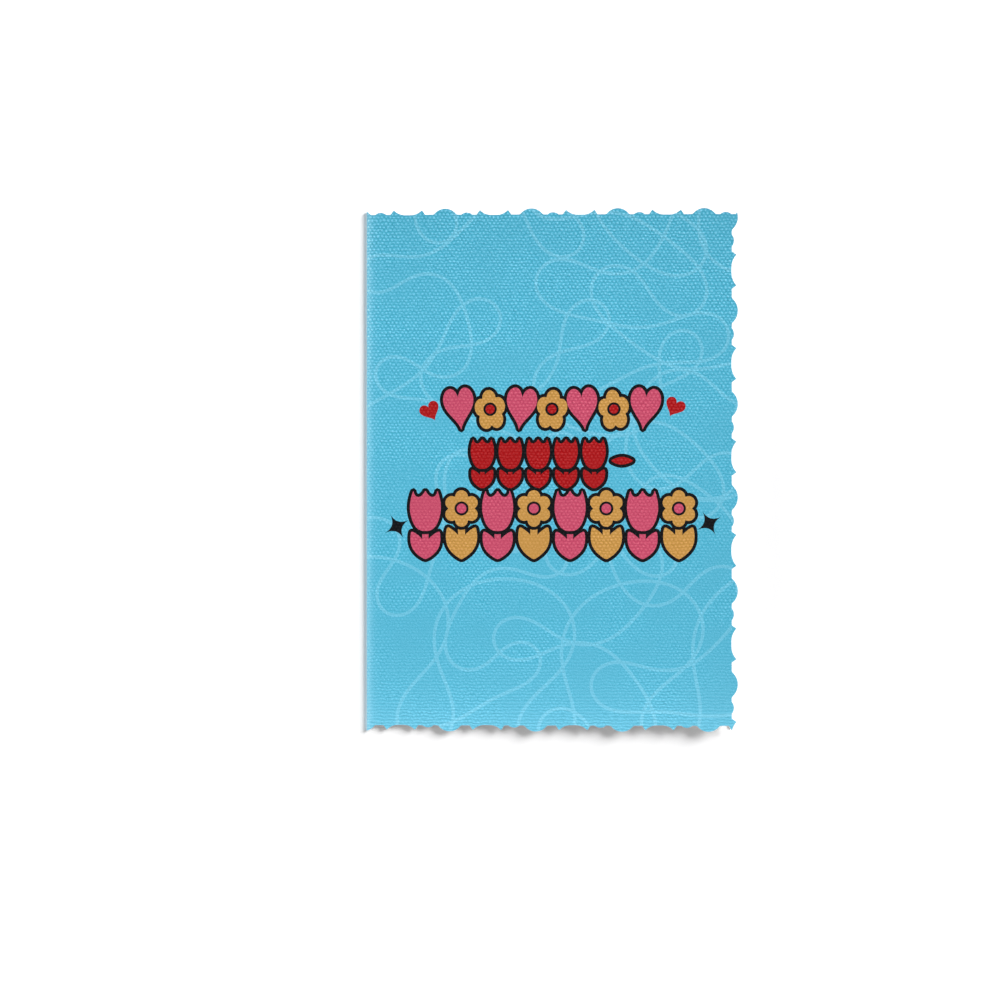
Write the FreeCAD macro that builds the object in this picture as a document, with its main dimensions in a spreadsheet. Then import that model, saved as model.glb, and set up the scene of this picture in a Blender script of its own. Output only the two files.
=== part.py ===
"""A folded greeting card of canvas-textured stock, with a deckle cut on its three free sides.

The card is one sheet. Its back leaf lies flat, the fold runs along the left side, and the front leaf
springs a little open: it leaves the fold over a short steeper shoulder and then bows gently, as stiff
stock does. The deckle is cut through both leaves at once, so they match. The cutter's repeat is laid
along the head, the free side and the foot in turn, clockwise round the front: a broad scallop, a
small bump, a horn, a hollow scoop and a second horn.

Units are millimetres. X runs from the fold to the free side, Y up the card, Z up from the surface
that the card lies on. The origin is under the middle of the card, on that surface.
"""
import FreeCAD
import Part
import Sketcher

import math
import os

NODE = "folded_card"
SHEET = "sizes"

SIZES = (
    ("leaf_width", 105.0, "fold to the scallop tops on the free side"),
    ("leaf_height", 148.0, "scallop tops at the foot to scallop tops at the head"),
    ("stock_thickness", 0.45, "canvas-embossed card stock"),
    ("fold_inner_radius", 0.25, "inside of the fold"),
    ("shoulder_angle", 9.0, "slope in degrees at which the front leaf leaves the fold"),
    ("shoulder_radius", 24.0, "outer radius of the shoulder beside the fold"),
    ("spring_angle", 2.0, "slope in degrees where the shoulder ends"),
    ("bow_radius", 4200.0, "outer radius of the front leaf's gentle bow"),
    ("trim_allowance", 2.0, "blank beyond the scallop tops before the cut"),
    ("repeat_length", 24.4, "cutter repeat along the head and the foot"),
    ("side_stretch", 1.082, "repeat along the free side, as a multiple of the other"),
    ("scallop_rise", 1.7, "scallop top above the cut's base line"),
    ("scallop_radius", 3.9, "top of the scallop"),
    ("scallop_fillet", 0.8, "hollow at each foot of the scallop"),
    ("bump_offset", 6.1, "scallop's middle to the bump's middle"),
    ("bump_width", 3.1, "bump along the base line"),
    ("bump_rise", 0.6, "bump above the base line"),
    ("first_horn_offset", 9.8, "scallop's middle to the first horn's tip"),
    ("second_horn_offset", 17.8, "scallop's middle to the second horn's tip"),
    ("horn_rise", 1.3, "horn tips above the base line"),
    ("horn_foot", 0.9, "steep side of a horn, along the base line"),
    ("scoop_radius", 4.5, "flanks of the scoop between the horns"),
    ("scoop_depth", 0.1, "floor of the scoop below the base line"),
    ("seam_offset", 5.0, "seam between repeats back from the scallop's middle"),
    ("seam_overlap", 0.4, "one stroke of the cutter over the next"),
    ("head_phase", -2.1, "fold to the first scallop's middle, along the head"),
    ("side_phase", 2.6, "head's scallop tops to the first scallop's middle, down the side"),
    ("foot_phase", -16.1, "side's scallop tops to the first scallop's middle, along the foot"),
)

# Angle of each side's base line, in degrees, from the direction fold to free side
HEAD_TURN, SIDE_TURN, FOOT_TURN = 0.0, -90.0, 180.0

# A sketch's own numbers for an edge's ends and an arc's centre, and for its axes and origin
START, END, CENTRE = range(1, 4)
HORIZONTAL_AXIS, VERTICAL_AXIS = -1, -2
ORIGIN = (HORIZONTAL_AXIS, START)


def cell(alias):
    """An expression that reads one size from the spreadsheet."""
    return f"{SHEET}.{alias}"


def make_sheet(doc):
    """Writes the driving sizes into a spreadsheet, one row each, and returns them by alias."""
    sheet = doc.addObject("Spreadsheet::Sheet", SHEET)
    for row, (alias, value, note) in enumerate(SIZES, start=1):
        sheet.set(f"A{row}", alias)
        sheet.set(f"B{row}", str(value))
        sheet.setAlias(f"B{row}", alias)
        sheet.set(f"C{row}", note)
    doc.recompute()
    return {alias: float(sheet.get(alias)) for alias, _, _ in SIZES}


def origin_feature(body, role):
    """One of the body's own origin planes or axes."""
    return next(feature for feature in body.Origin.OriginFeatures if feature.Role == role)


class Outline:
    """A closed chain of lines and arcs in a sketch, each starting where the last one ended."""

    def __init__(self, sketch, x, y):
        self.sketch = sketch
        self.here = FreeCAD.Vector(x, y, 0)
        self.edges = []

    def line(self, x, y):
        """Draws a straight edge to a point and returns it as (geometry, first end, last end)."""
        target = FreeCAD.Vector(x, y, 0)
        index = self.sketch.addGeometry(Part.LineSegment(self.here, target), False)
        self.here = target
        self.edges.append((index, START, END))
        return self.edges[-1]

    def arc(self, x, y, centre_x, centre_y, clockwise):
        """Draws an arc to a point about a centre and returns it as line does."""
        target = FreeCAD.Vector(x, y, 0)
        centre = FreeCAD.Vector(centre_x, centre_y, 0)
        angles = [math.atan2(p.y - centre.y, p.x - centre.x) for p in (self.here, target)]
        ends = (START, END)
        if clockwise:
            angles.reverse()
            ends = (END, START)
        if angles[1] < angles[0]:
            angles[1] += 2 * math.pi
        circle = Part.Circle(centre, FreeCAD.Vector(0, 0, 1), (target - centre).Length)
        index = self.sketch.addGeometry(Part.ArcOfCircle(circle, *angles), False)
        self.here = target
        self.edges.append((index, *ends))
        return self.edges[-1]

    def join(self, smooth):
        """Ties each edge's last end to the next one's first, smoothly where the pair is listed."""
        for place, edge in enumerate(self.edges):
            following = self.edges[(place + 1) % len(self.edges)]
            kind = "Tangent" if (edge, following) in smooth else "Coincident"
            ends = (edge[0], edge[2], following[0], following[1])
            self.sketch.addConstraint(Sketcher.Constraint(kind, *ends))

    def level(self, edge):
        """Makes an edge run along the sketch's horizontal axis."""
        self.sketch.addConstraint(Sketcher.Constraint("Horizontal", edge[0]))

    def upright(self, edge):
        """Makes an edge run along the sketch's vertical axis."""
        self.sketch.addConstraint(Sketcher.Constraint("Vertical", edge[0]))

    def on_axis(self, point, axis):
        """Puts a point, given as (geometry, place), on one of the sketch's axes."""
        self.sketch.addConstraint(Sketcher.Constraint("PointOnObject", *point, axis))

    def together(self, first, second):
        """Puts two points in one place."""
        self.sketch.addConstraint(Sketcher.Constraint("Coincident", *first, *second))

    def equal(self, first, second):
        """Gives two edges one radius or length."""
        self.sketch.addConstraint(Sketcher.Constraint("Equal", first[0], second[0]))

    def across(self, first, second, size, expression):
        """Dimensions the run from one point rightwards to another."""
        self.bind(Sketcher.Constraint("DistanceX", *first, *second, size), expression)

    def up(self, first, second, size, expression):
        """Dimensions the rise from one point to another."""
        self.bind(Sketcher.Constraint("DistanceY", *first, *second, size), expression)

    def radius(self, edge, size, expression):
        """Dimensions an arc's radius."""
        self.bind(Sketcher.Constraint("Radius", edge[0], size), expression)

    def bind(self, constraint, expression):
        """Adds a dimension and ties it to an expression on the spreadsheet."""
        index = self.sketch.addConstraint(constraint)
        self.sketch.setExpression(f"Constraints[{index}]", expression)


def first_end(edge):
    """The point where an edge of an outline starts."""
    return edge[0], edge[1]


def last_end(edge):
    """The point where an edge of an outline ends."""
    return edge[0], edge[2]


def centre_of(edge):
    """The centre of an arc of an outline."""
    return edge[0], CENTRE


def draw_section(sketch, size):
    """The folded sheet seen from its foot: back leaf, fold, shoulder and bowed front leaf.

    Outer arcs and inner arcs share their centres, so the stock keeps its thickness all the way.
    """
    thickness = size["stock_thickness"]
    reach = size["leaf_width"] / 2 + size["trim_allowance"]
    outer = size["fold_inner_radius"] + thickness
    steep = math.radians(size["shoulder_angle"])
    gentle = math.radians(size["spring_angle"])
    shoulder = size["shoulder_radius"]
    bow = size["bow_radius"]

    fold_x, fold_y = outer - size["leaf_width"] / 2, outer
    shoulder_x = fold_x + (shoulder - outer) * math.sin(steep)
    shoulder_y = fold_y - (shoulder - outer) * math.cos(steep)
    bow_x = shoulder_x + (bow - shoulder) * math.sin(gentle)
    bow_y = shoulder_y - (bow - shoulder) * math.cos(gentle)

    def off_fold(radius):
        return fold_x - radius * math.sin(steep), fold_y + radius * math.cos(steep)

    def off_shoulder(radius):
        return shoulder_x - radius * math.sin(gentle), shoulder_y + radius * math.cos(gentle)

    def free_end(radius):
        return reach, bow_y + math.sqrt(radius**2 - (reach - bow_x) ** 2)

    outline = Outline(sketch, reach, 0)
    under = outline.line(fold_x, 0)
    fold_out = outline.arc(*off_fold(outer), fold_x, fold_y, True)
    shoulder_out = outline.arc(*off_shoulder(shoulder), shoulder_x, shoulder_y, True)
    bow_out = outline.arc(*free_end(bow), bow_x, bow_y, True)
    front_end = outline.line(*free_end(bow - thickness))
    bow_in = outline.arc(*off_shoulder(shoulder - thickness), bow_x, bow_y, False)
    shoulder_in = outline.arc(*off_fold(outer - thickness), shoulder_x, shoulder_y, False)
    fold_in = outline.arc(fold_x, thickness, fold_x, fold_y, False)
    over = outline.line(reach, thickness)
    back_end = outline.line(reach, 0)

    smooth = {(under, fold_out), (fold_out, shoulder_out), (shoulder_out, bow_out)}
    smooth |= {(bow_in, shoulder_in), (shoulder_in, fold_in), (fold_in, over)}
    outline.join(smooth)
    for straight in (under, over):
        outline.level(straight)
    for end in (front_end, back_end):
        outline.upright(end)
    for out, inner in ((fold_out, fold_in), (shoulder_out, shoulder_in), (bow_out, bow_in)):
        outline.together(centre_of(out), centre_of(inner))
    outline.on_axis(first_end(under), HORIZONTAL_AXIS)

    reach_cells = f"{cell('leaf_width')} / 2 + {cell('trim_allowance')}"
    outer_cells = f"({cell('fold_inner_radius')} + {cell('stock_thickness')})"
    outline.across(ORIGIN, first_end(under), reach, reach_cells)
    outline.across(ORIGIN, last_end(bow_out), reach, reach_cells)
    outline.across(centre_of(fold_out), ORIGIN, -fold_x, f"{cell('leaf_width')} / 2 - {outer_cells}")
    outline.radius(fold_out, outer, outer_cells)
    outline.radius(fold_in, outer - thickness, cell("fold_inner_radius"))
    outline.radius(shoulder_out, shoulder, cell("shoulder_radius"))
    outline.radius(bow_out, bow, cell("bow_radius"))
    outline.across(
        centre_of(fold_out),
        centre_of(shoulder_out),
        shoulder_x - fold_x,
        f"({cell('shoulder_radius')} - {outer_cells}) * sin({cell('shoulder_angle')} * 1 deg)",
    )
    outline.across(
        centre_of(shoulder_out),
        centre_of(bow_out),
        bow_x - shoulder_x,
        f"({cell('bow_radius')} - {cell('shoulder_radius')}) * sin({cell('spring_angle')} * 1 deg)",
    )


def draw_stroke(sketch, size, stretch, stretch_cells):
    """One repeat of the cutter, closed outside the sheet. Its origin is the scallop's middle.

    The horizontal axis is the cut's base line and the sheet lies below it. What the closed outline
    holds is cut away. A stretched repeat keeps its heights: its lengths along the base line are
    multiplied by the stretch, and its radii by the stretch squared, as the crown of a stretched
    arc's are.
    """

    def along(alias):
        return size[alias] * stretch

    def along_cells(expression):
        return f"({expression}) * {stretch_cells}"

    def radius_of(alias):
        return size[alias] * stretch**2

    def radius_cells(alias):
        return f"{cell(alias)} * {stretch_cells} ^ 2"

    rise = size["scallop_rise"]
    dome, fillet = radius_of("scallop_radius"), radius_of("scallop_fillet")
    foot = math.sqrt(rise * (2 * (dome + fillet) - rise))
    share = dome / (dome + fillet)
    dome_y = rise - dome
    meet_x, meet_y = foot * share, dome_y + (fillet - dome_y) * share

    bump_half = along("bump_width") / 2
    bump_rise = size["bump_rise"]
    bump_radius = (bump_half**2 + bump_rise**2) / (2 * bump_rise)
    bump_x = along("bump_offset")

    first_tip, second_tip = along("first_horn_offset"), along("second_horn_offset")
    horn, horn_foot = size["horn_rise"], along("horn_foot")
    floor, flank = -size["scoop_depth"], radius_of("scoop_radius")
    drop = horn - floor
    flank_run = math.sqrt(drop * (2 * flank - drop))

    start = -along("seam_offset")
    span = along("repeat_length") + size["seam_overlap"]
    outside = size["scallop_rise"] + 2 * size["trim_allowance"]

    outline = Outline(sketch, start, 0)
    seam_land = outline.line(-foot, 0)
    fillet_up = outline.arc(-meet_x, meet_y, -foot, fillet, False)
    scallop = outline.arc(meet_x, meet_y, 0, dome_y, True)
    fillet_down = outline.arc(foot, 0, foot, fillet, False)
    land_before = outline.line(bump_x - bump_half, 0)
    bump = outline.arc(bump_x + bump_half, 0, bump_x, bump_rise - bump_radius, True)
    land_after = outline.line(first_tip - horn_foot, 0)
    first_side = outline.line(first_tip, horn)
    flank_down = outline.arc(first_tip + flank_run, floor, first_tip + flank_run, floor + flank, False)
    scoop_floor = outline.line(second_tip - flank_run, floor)
    flank_up = outline.arc(second_tip, horn, second_tip - flank_run, floor + flank, False)
    second_side = outline.line(second_tip + horn_foot, 0)
    last_land = outline.line(start + span, 0)
    up_outside = outline.line(start + span, outside)
    along_outside = outline.line(start, outside)
    down_outside = outline.line(start, 0)

    smooth = {(seam_land, fillet_up), (fillet_up, scallop), (scallop, fillet_down)}
    smooth |= {(fillet_down, land_before), (flank_down, scoop_floor), (scoop_floor, flank_up)}
    outline.join(smooth)
    for straight in (land_before, land_after, scoop_floor, last_land, along_outside):
        outline.level(straight)
    for straight in (up_outside, down_outside):
        outline.upright(straight)
    for point in (first_end(seam_land), last_end(seam_land), last_end(fillet_down)):
        outline.on_axis(point, HORIZONTAL_AXIS)
    for point in (first_end(land_after), last_end(second_side)):
        outline.on_axis(point, HORIZONTAL_AXIS)
    outline.on_axis(centre_of(scallop), VERTICAL_AXIS)
    outline.equal(fillet_up, fillet_down)
    outline.equal(flank_down, flank_up)

    outline.radius(scallop, dome, radius_cells("scallop_radius"))
    outline.radius(fillet_up, fillet, radius_cells("scallop_fillet"))
    sink_cells = f"{radius_cells('scallop_radius')} - {cell('scallop_rise')}"
    outline.up(centre_of(scallop), ORIGIN, -dome_y, sink_cells)
    width_cells = along_cells(cell("bump_width"))
    bump_squares = f"({width_cells}) ^ 2 / 4 + {cell('bump_rise')} ^ 2"
    outline.radius(bump, bump_radius, f"({bump_squares}) / (2 * {cell('bump_rise')})")
    outline.across(ORIGIN, centre_of(bump), bump_x, along_cells(cell("bump_offset")))
    outline.across(first_end(bump), last_end(bump), 2 * bump_half, width_cells)
    outline.across(ORIGIN, last_end(first_side), first_tip, along_cells(cell("first_horn_offset")))
    outline.across(ORIGIN, first_end(second_side), second_tip, along_cells(cell("second_horn_offset")))
    for side, tip in ((first_side, last_end(first_side)), (second_side, first_end(second_side))):
        outline.up(ORIGIN, tip, horn, cell("horn_rise"))
        outline.across(first_end(side), last_end(side), horn_foot, along_cells(cell("horn_foot")))
    outline.radius(flank_down, flank, radius_cells("scoop_radius"))
    outline.up(first_end(scoop_floor), ORIGIN, -floor, cell("scoop_depth"))
    outline.across(first_end(seam_land), ORIGIN, -start, along_cells(cell("seam_offset")))
    span_cells = f"{along_cells(cell('repeat_length'))} + {cell('seam_overlap')}"
    outline.across(first_end(seam_land), last_end(last_land), span, span_cells)
    outside_cells = f"{cell('scallop_rise')} + 2 * {cell('trim_allowance')}"
    outline.up(first_end(up_outside), last_end(up_outside), outside, outside_cells)


def new_sketch(body, name, plane):
    """An empty sketch on one of the body's own origin planes."""
    sketch = body.newObject("Sketcher::SketchObject", name)
    sketch.AttachmentSupport = [(origin_feature(body, plane), "")]
    sketch.MapMode = "FlatFace"
    return sketch


def settle(doc, sketch):
    """Recomputes a sketch and makes sure that its sizes leave nothing loose or in conflict."""
    doc.recompute()
    if sketch.solve() != 0 or not sketch.FullyConstrained:
        raise RuntimeError(f"{sketch.Name} isn't fully constrained")


def make_blank(doc, body, size):
    """The folded sheet before trimming, as long as the card and the trim at its head and foot."""
    sketch = new_sketch(body, "section", "XZ_Plane")
    draw_section(sketch, size)
    settle(doc, sketch)
    blank = body.newObject("PartDesign::Pad", "blank")
    blank.Profile = sketch
    blank.SideType = "Symmetric"
    blank.setExpression("Length", f"{cell('leaf_height')} + 2 * {cell('trim_allowance')}")
    doc.recompute()
    return blank


def cut_side(doc, body, size, name, turn, place, along, stretched):
    """Runs the cutter along one side of the card, through both leaves.

    The place gives, as expressions, where the first scallop's middle stands on the base line. The
    turn is the angle of that line. The strokes go on until the length along the side is cut.
    """
    stretch = size["side_stretch"] if stretched else 1.0
    stretch_cells = cell("side_stretch") if stretched else "1"
    sketch = new_sketch(body, f"{name}_stroke", "XY_Plane")
    sketch.AttachmentOffset = FreeCAD.Placement(
        FreeCAD.Vector(), FreeCAD.Rotation(FreeCAD.Vector(0, 0, 1), turn)
    )
    for axis, expression in zip("xy", place):
        sketch.setExpression(f".AttachmentOffset.Base.{axis}", expression)
    draw_stroke(sketch, size, stretch, stretch_cells)
    settle(doc, sketch)

    before = body.Shape.Volume
    stroke = body.newObject("PartDesign::Pocket", f"{name}_first_cut")
    stroke.Profile = sketch
    stroke.Type = "ThroughAll"
    stroke.SideType = "Symmetric"
    doc.recompute()
    after_one = body.Shape.Volume

    run = body.newObject("PartDesign::LinearPattern", f"{name}_deckle")
    run.Originals = [stroke]
    run.Direction = (sketch, ["H_Axis"])
    run.Mode = "Spacing"
    run.setExpression("Offset", f"{cell('repeat_length')} * {stretch_cells}")
    lead = f"{cell('seam_offset')} * {stretch_cells} - {cell(f'{name}_phase')}"
    reach = f"{cell(along)} + {cell('trim_allowance')} + {lead}"
    run.setExpression("Occurrences", f"ceil(({reach}) / ({cell('repeat_length')} * {stretch_cells}))")
    body.Tip = run
    doc.recompute()
    if not before > after_one > body.Shape.Volume:
        raise RuntimeError(f"the cut along the {name} takes nothing away")
    return run


def make_card(doc, size):
    """The whole card: the folded blank, then the deckle along head, free side and foot."""
    body = doc.addObject("PartDesign::Body", NODE)
    body.Label = NODE
    body.Placement = FreeCAD.Placement()
    make_blank(doc, body, size)
    half_width, half_height = f"{cell('leaf_width')} / 2", f"{cell('leaf_height')} / 2"
    rise = cell("scallop_rise")
    head = (f"-{half_width} + {cell('head_phase')}", f"{half_height} - {rise}")
    side = (f"{half_width} - {rise}", f"{half_height} - {cell('side_phase')}")
    foot = (f"{half_width} - {cell('foot_phase')}", f"-{half_height} + {rise}")
    cut_side(doc, body, size, "head", HEAD_TURN, head, "leaf_width", False)
    cut_side(doc, body, size, "side", SIDE_TURN, side, "leaf_height", True)
    cut_side(doc, body, size, "foot", FOOT_TURN, foot, "leaf_width", False)
    return body


def check(doc, bodies):
    """Raises an error where an object failed or a body isn't one valid solid."""
    for thing in doc.Objects:
        if "Invalid" in thing.State or "Error" in thing.State:
            raise RuntimeError(f"{thing.Name} didn't compute")
    for body in bodies:
        shape = body.Shape
        if shape.isNull() or not shape.isValid() or len(shape.Solids) != 1:
            raise RuntimeError(f"{body.Label} isn't one valid solid")


def main():
    """Builds the document and writes each piece."""
    doc = FreeCAD.newDocument("greeting_card")
    size = make_sheet(doc)
    bodies = [make_card(doc, size)]
    doc.recompute()
    check(doc, bodies)
    os.makedirs("parts", exist_ok=True)
    for body in bodies:
        body.Shape.exportStep(os.path.join("parts", f"{body.Label}.step"))
        box = body.Shape.optimalBoundingBox()
        print(body.Label, f"{box.XLength:.2f} x {box.YLength:.2f} x {box.ZLength:.2f} mm")
        print(f"lowest corner {box.XMin:.3f}, {box.YMin:.3f}, {box.ZMin:.3f}")
        print(f"volume {body.Shape.Volume:.1f} mm3, faces {len(body.Shape.Faces)}")


main()
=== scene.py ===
"""The look of a folded greeting card: one sheet of canvas-textured stock with a deckle cut.

The sheet is meshed flat, in the plane of the print, and then carried round the fold. Its flat
place u equals x on the front leaf, so a motif drawn at x, y on the print stands there on the card.
Past the fold u goes on falling over the back leaf. Lengths are in metres where no comment
says millimetres.
"""
import math

import bpy
import numpy as np
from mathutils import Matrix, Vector
from mathutils.geometry import delaunay_2d_cdt


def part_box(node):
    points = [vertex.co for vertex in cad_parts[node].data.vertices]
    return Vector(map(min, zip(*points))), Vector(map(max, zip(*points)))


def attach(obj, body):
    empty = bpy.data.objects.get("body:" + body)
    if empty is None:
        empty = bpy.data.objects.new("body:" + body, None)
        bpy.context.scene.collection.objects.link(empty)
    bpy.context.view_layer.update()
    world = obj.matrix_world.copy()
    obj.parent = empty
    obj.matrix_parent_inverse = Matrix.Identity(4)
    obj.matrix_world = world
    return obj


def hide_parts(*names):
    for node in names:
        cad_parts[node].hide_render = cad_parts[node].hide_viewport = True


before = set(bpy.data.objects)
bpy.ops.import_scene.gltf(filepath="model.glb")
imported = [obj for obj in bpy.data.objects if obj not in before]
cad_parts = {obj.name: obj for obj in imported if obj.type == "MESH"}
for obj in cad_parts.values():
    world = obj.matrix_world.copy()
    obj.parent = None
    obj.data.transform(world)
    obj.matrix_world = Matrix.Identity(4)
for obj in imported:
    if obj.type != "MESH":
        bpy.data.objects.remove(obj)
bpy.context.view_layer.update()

bl_info = {
    "name": "Folded greeting card",
    "version": (1, 0, 0),
    "blender": (4, 5, 0),
    "location": "View3D > Sidebar > Card",
    "description": "Adds a folded, printed greeting card with a deckle cut, and its stage",
    "category": "Add Mesh",
}

MM = 0.001
NODE = "folded_card"
BODY = "root"
UV_LAYER = "sheet"
UV_SPAN = 0.25
CARD_LOW, CARD_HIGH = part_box(NODE)
CARD_WIDTH = CARD_HIGH.x - CARD_LOW.x
CARD_HEIGHT = CARD_HIGH.y - CARD_LOW.y

# Material numbers of the mesh: the inks, then the bare inside and the cut edge
INKS = ("field", "line", "rim", "pink", "amber", "red")
FIELD, LINE, RIM, PINK, AMBER, RED = range(len(INKS))
INSIDE = len(INKS)
CUT_EDGE = INSIDE + 1

# How thin each ink lies, the stock that shows through it, which is also mixed in as the fold's
# painted highlight and the foot's painted light, and from what height of the crowns
THINNESS = {"field": 1.0, "line": 1.0, "rim": 0.15, "pink": 0.6, "amber": 0.5, "red": 0.35}
PALE_STOCK_AND_PAINTED_LIGHT = (0.95, 0.95, 0.94, 1.0)
SHOWS_ABOVE = 0.3
# Inks that take the painted highlight along the fold, partly wear, the painted light at the foot,
# and the painted shade at the head and the free side
INKS_WITH_WEAR_AND_PAINTED_LIGHT = ("field", "line")

# Size across and up, in millimetres, and detail of each noise of the weave
NOISES = {
    "stray": (2.6, 2.6, 4.0),
    "fibre": (1.5, 0.26, 2.0),
    "uneven": (0.62, 0.5, 1.0),
    "grain": (0.34, 0.3, 1.0),
    "mottle": (18, 12, 3.0),
}

# Middle of every noise, of the cloth's height and of how pale its crowns are
MIDDLE = 0.5

# What each part of the weave adds to the height of the cloth and to its crown mask, which sets the
# painted highlight on the crowns and how much pale stock shows there
HEIGHT_PARTS = {"checks": 0.22, "rows": 0.2, "fibre": 0.5, "grain": 0.3}
CROWN_PARTS = {"checks": 0.36, "rows": 0.26, "fibre": 1.1, "grain": 0.6}
LEAST_DEPTH = 0.05

# Strength of the weave's streaks at the foot, and where the weave is deep
FOOT_STREAKS, DEEP_STREAKS = 0.7, 0.8

# Fibres at the cut edge
FIBRE_SIZE, FIBRE_RELIEF = 0.12 * MM, 0.04 * MM
FIBRE_CONTRAST, FIBRE_TONE = 0.3, 0.8

# Wandering lines: levels from -1 to 1, whether they run up the card, ranges of the swing and
# the count of their wide and of their fine waves, and points of each line
LINE_FAMILIES = (
    ((-0.78, -0.3, 0.24, 0.74), False, ((1.6, 2.0), (3.2, 4.2)), ((0.4, 0.7), (6.5, 9)), 760),
    ((-0.66, 0.0, 0.66), True, ((1.6, 2.0), (4.2, 5.4)), ((0.4, 0.7), (8.5, 12)), 960),
)
LINE_DRIFT = 0.1
LINE_SPARE = 9 * MM

# Small hearts and four-point stars: x and y in millimetres, and turn in degrees
SMALL_HEARTS = ((-34.3, 16.4, 27), (34.5, 17.5, -27))
STARS = ((-43.9, -16.0, 29), (44.4, -15.1, 29))

# Steps of printing that a rimmed shape takes: its rim, then its ink
RIMMED_STEPS = 2

# Mesh: what the net has beyond the card, columns of the shoulder, and points taken as one
NET_SPARE = 1.5 * MM
SHOULDER_COLUMNS = 5
SNAP = 1e-7
SHARP_ANGLE = math.radians(35)

# Colours of the floor and of the light that it and the world give
FLOOR_COLOUR = (0.985, 0.985, 0.99, 1.0)
WHITE = (1.0, 1.0, 1.0, 1.0)

# Lamps that face the card: place, width and depth in metres, and power in watts
LAMPS = {
    "key lamp": ((4.94, 3.23, 3.8), 3.5, 3.5, 675.0),
    "left lamp": ((-1.3, -0.1, 0.22), 0.6, 0.36, 8.0),
}


def length(name, millimetres, description):
    """A length that a user can change, given in millimetres."""
    return bpy.props.FloatProperty(
        name=name,
        description=description,
        default=millimetres * MM,
        precision=5,
        subtype="DISTANCE",
        unit="LENGTH",
    )


def angle(name, degrees, description):
    """An angle that a user can change, given in degrees."""
    return bpy.props.FloatProperty(
        name=name,
        description=description,
        default=math.radians(degrees),
        subtype="ANGLE",
        unit="ROTATION",
    )


def share(name, default, description):
    """A plain number that a user can change."""
    return bpy.props.FloatProperty(name=name, description=description, default=default)


def number(name, default, description):
    """A whole number that a user can change."""
    return bpy.props.IntProperty(name=name, description=description, default=default)


def ink(name, colour, description):
    """A colour that a user can change, given as sRGB from 0 to 255."""
    return bpy.props.FloatVectorProperty(
        name=name,
        description=description,
        default=[linear(part / 255) for part in colour],
        min=0.0,
        max=1.0,
        size=3,
        subtype="COLOR",
    )


def group_of(kind, name, description):
    """A group of such values."""
    return bpy.props.PointerProperty(type=kind, name=name, description=description)


def linear(value):
    """Scene-linear value of one sRGB channel."""
    return value / 12.92 if value <= 0.04045 else ((value + 0.055) / 1.055) ** 2.4


class CardSheetSizes(bpy.types.PropertyGroup):
    """Sizes of the folded sheet."""

    leaf_width: length("Leaf width", CARD_WIDTH / MM, "Fold to the free side's scallop tops")
    leaf_height: length("Leaf height", CARD_HEIGHT / MM, "Scallop tops, foot to head")
    thickness: length("Stock thickness", 0.45, "Canvas-embossed card stock")
    fold_inner_radius: length("Fold radius", 0.25, "Inside of the fold")
    shoulder_angle: angle("Shoulder angle", 9.0, "Slope at which the front leaf leaves the fold")
    shoulder_radius: length("Shoulder radius", 24.0, "Outer radius beside the fold")
    spring_angle: angle("Spring angle", 2.0, "Slope where the shoulder ends")
    bow_radius: length("Bow radius", 4200.0, "Outer radius of the front leaf's bow")
    grid: length("Mesh grid", 3.0, "Largest spacing of the mesh on a plain leaf")
    fold_columns: number("Fold columns", 20, "Faces round the fold")


class CardDeckleSizes(bpy.types.PropertyGroup):
    """Sizes of the cutter's repeat and where it starts on each side."""

    repeat_length: length("Repeat", 24.4, "Cutter repeat along the head and the foot")
    side_stretch: share("Side stretch", 1.082, "Repeat on the free side over the other")
    scallop_rise: length("Scallop rise", 1.7, "Scallop top above the base line")
    scallop_radius: length("Scallop radius", 3.9, "Top of the scallop")
    scallop_fillet: length("Scallop fillet", 0.8, "Hollow at each foot of the scallop")
    bump_offset: length("Bump offset", 6.1, "Scallop's middle to the bump's middle")
    bump_width: length("Bump width", 3.1, "Bump along the base line")
    bump_rise: length("Bump rise", 0.6, "Bump above the base line")
    first_horn: length("First horn", 9.8, "Scallop's middle to the first horn's tip")
    second_horn: length("Second horn", 17.8, "Scallop's middle to the second horn's tip")
    horn_rise: length("Horn rise", 1.3, "Horn tips above the base line")
    horn_foot: length("Horn foot", 0.9, "Steep side of a horn, along the base line")
    scoop_radius: length("Scoop radius", 4.5, "Flanks of the scoop between the horns")
    scoop_depth: length("Scoop depth", 0.1, "Floor of the scoop below the base line")
    seam_offset: length("Seam offset", 5.0, "Seam between repeats, back from the scallop's middle")
    head_phase: length("Head phase", -2.1, "Fold to the first scallop's middle, along the head")
    side_phase: length("Side phase", 2.6, "Head to the first scallop's middle, down the side")
    foot_phase: length("Foot phase", -16.1, "Side to the first scallop's middle, along the foot")
    step: length("Cut step", 0.22, "Longest straight run of the cut's mesh")


class CardPrintSizes(bpy.types.PropertyGroup):
    """Sizes and colours of the print."""

    line_width: length("Line width", 0.95, "Width of the wandering lines")
    seed: number("Seed", 3, "Another layout of the lines")
    rim_width: length("Rim width", 0.9, "Width of the dark rim round a motif")
    field: ink("Field", (80, 189, 221), "Ground of the print")
    line: ink("Lines", (107, 201, 231), "Wandering lines")
    rim: ink("Rims", (1, 2, 7), "Rims and four-point stars")
    pink: ink("Pink", (206, 76, 108), "Pink motifs")
    amber: ink("Amber", (205, 152, 74), "Amber motifs")
    red: ink("Red", (174, 8, 15), "Red motifs")
    inside: ink("Inside", (238, 238, 236), "Unprinted inside and cut edges")


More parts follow.
